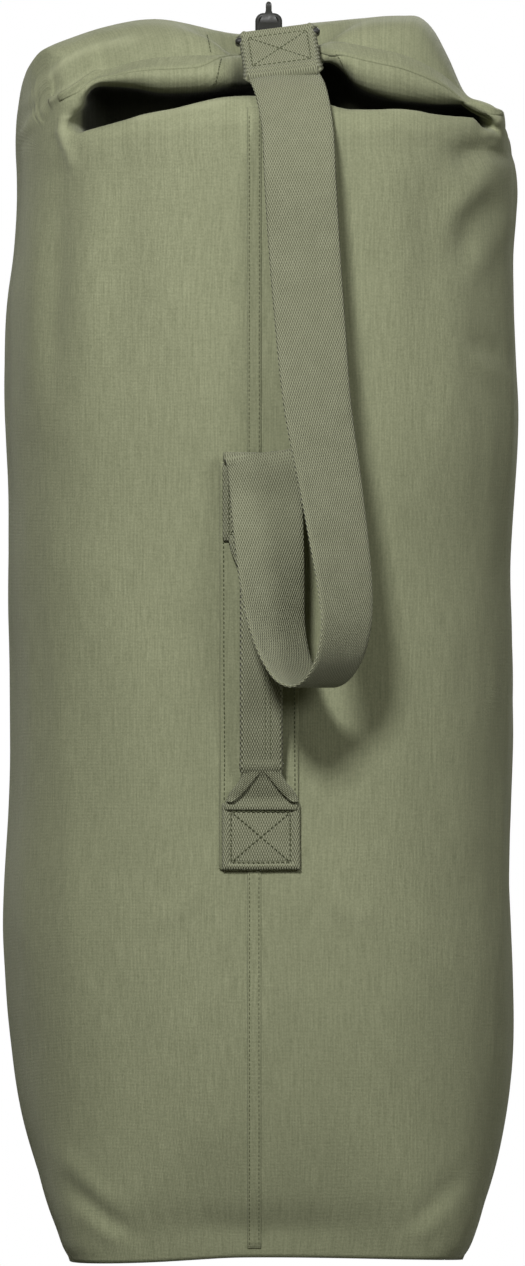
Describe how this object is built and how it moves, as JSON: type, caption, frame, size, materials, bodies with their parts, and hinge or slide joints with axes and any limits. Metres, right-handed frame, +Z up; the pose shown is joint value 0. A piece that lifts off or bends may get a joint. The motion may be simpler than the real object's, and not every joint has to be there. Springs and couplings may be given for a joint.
{
  "type": "duffel bag",
  "caption": "Tall soft canvas duffel bag with its mouth folded shut over a staple, a webbing shoulder strap clipped on with a snap hook, and a folded webbing carry handle.",
  "frame": {"origin": "centre of the base on the floor", "axes": "+Z up along the bag, +X to the right seen from the front, +Y to the back, away from the strap"},
  "size_m": [0.3832, 0.4822, 0.9331],
  "materials": {
    "canvas": "matt olive cotton canvas",
    "webbing": "ribbed olive cotton webbing",
    "thread": "dark olive thread",
    "black_metal": "satin black steel"
  },
  "bodies": {
    "bag": {"base_panel": "canvas", "base_lining": "canvas", "base_seam_tape": "canvas", "body_tube": "canvas", "felled_seam": "canvas", "reinforcement_strip": "canvas", "strap_anchor": "webbing", "strap_anchor_stitching": "thread", "handle_anchor_lower": "webbing", "handle_anchor_stitching": "thread", "handle_spread_lower": "webbing", "handle_spread_upper": "webbing", "mouth_front_flap": "canvas", "mouth_back_flap": "canvas", "mouth_tuck_left": "canvas", "mouth_tuck_right": "canvas", "grommet_front": "black_metal", "grommet_back": "black_metal", "grommet_side": "black_metal", "grommet_washer_front": "black_metal", "grommet_washer_back": "black_metal", "grommet_washer_side": "black_metal", "staple_loop": "black_metal", "staple_plate": "black_metal", "staple_backing": "black_metal", "staple_rivets": "black_metal"},
    "shoulder_strap": {"strap_webbing": "webbing", "strap_tab": "canvas", "strap_tab_stitching": "thread", "strap_bail": "black_metal"},
    "snap_hook": {"hook_body": "black_metal", "gate_rivet": "black_metal"},
    "snap_gate": {"gate_tongue": "black_metal"},
    "carry_handle": {"handle_grip": "webbing"}
  },
  "joints": [
    {"name": "strap_swing", "type": "hinge", "parent": "bag", "child": "shoulder_strap", "pos_m": [-0.002, -0.19855, 0.5907], "axis": [0.0201, 0.298, 0.9544], "range_deg": [-6, 6], "stiffness_Nm_per_rad": 0.6},
    {"name": "hook_tilt", "type": "hinge", "parent": "shoulder_strap", "child": "snap_hook", "pos_m": [0.005, -0.11724, 0.9043], "axis": [0.9915, 0.0193, 0.129], "range_deg": [-3, 3]},
    {"name": "gate_open", "type": "hinge", "parent": "snap_hook", "child": "snap_gate", "pos_m": [0.005, -0.1077, 0.9095], "axis": [1, 0, 0], "range_deg": [0, 18], "stiffness_Nm_per_rad": 0.01, "springref_deg": -11.46},
    {"name": "handle_swing", "type": "hinge", "parent": "bag", "child": "carry_handle", "pos_m": [-0.0005, -0.19813, 0.361], "axis": [0, 0, 1], "range_deg": [-15, 15], "stiffness_Nm_per_rad": 0.1}
  ]
}
